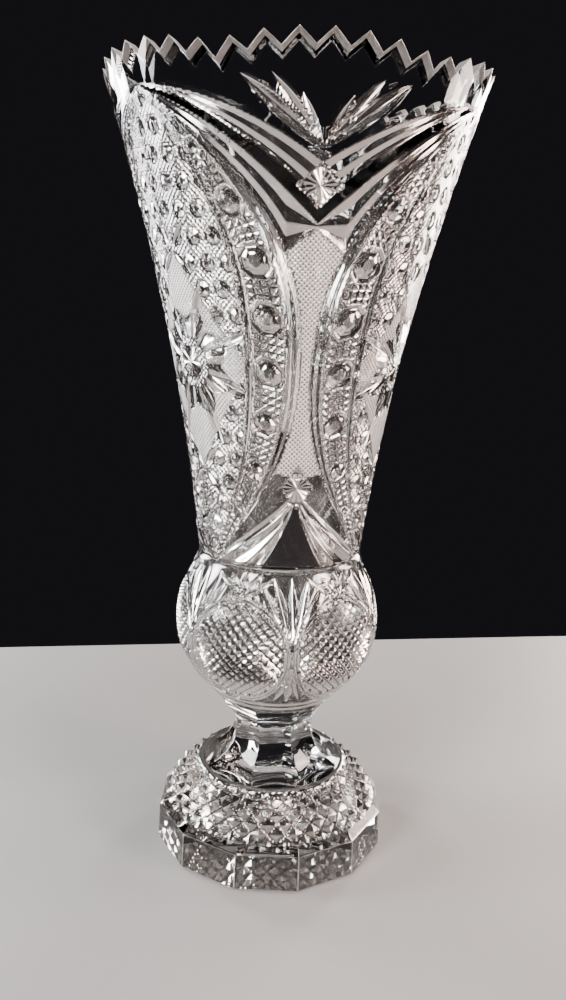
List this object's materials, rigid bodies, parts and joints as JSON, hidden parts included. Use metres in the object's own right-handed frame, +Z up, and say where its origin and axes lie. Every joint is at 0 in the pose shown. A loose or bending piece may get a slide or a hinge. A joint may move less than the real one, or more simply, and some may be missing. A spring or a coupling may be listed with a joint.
{
  "type": "cut crystal vase",
  "caption": "Tall footed cut crystal vase with a saw-tooth flared bowl, round bulb, fluted stem and faceted foot.",
  "frame": {"origin": "centre of the underside of the foot, on the table", "axes": "+Z up along the vase's axis, -Y towards the middle of a rim lobe with a fan of cuts, +X to the right seen from -Y"},
  "size_m": [0.1392, 0.1414, 0.305],
  "materials": {
    "crystal": "polished lead crystal, colourless, deep-cut"
  },
  "bodies": {
    "root": {"flared_bowl": "crystal", "bulb": "crystal", "collar": "crystal", "stem": "crystal", "foot": "crystal"}
  },
  "joints": []
}
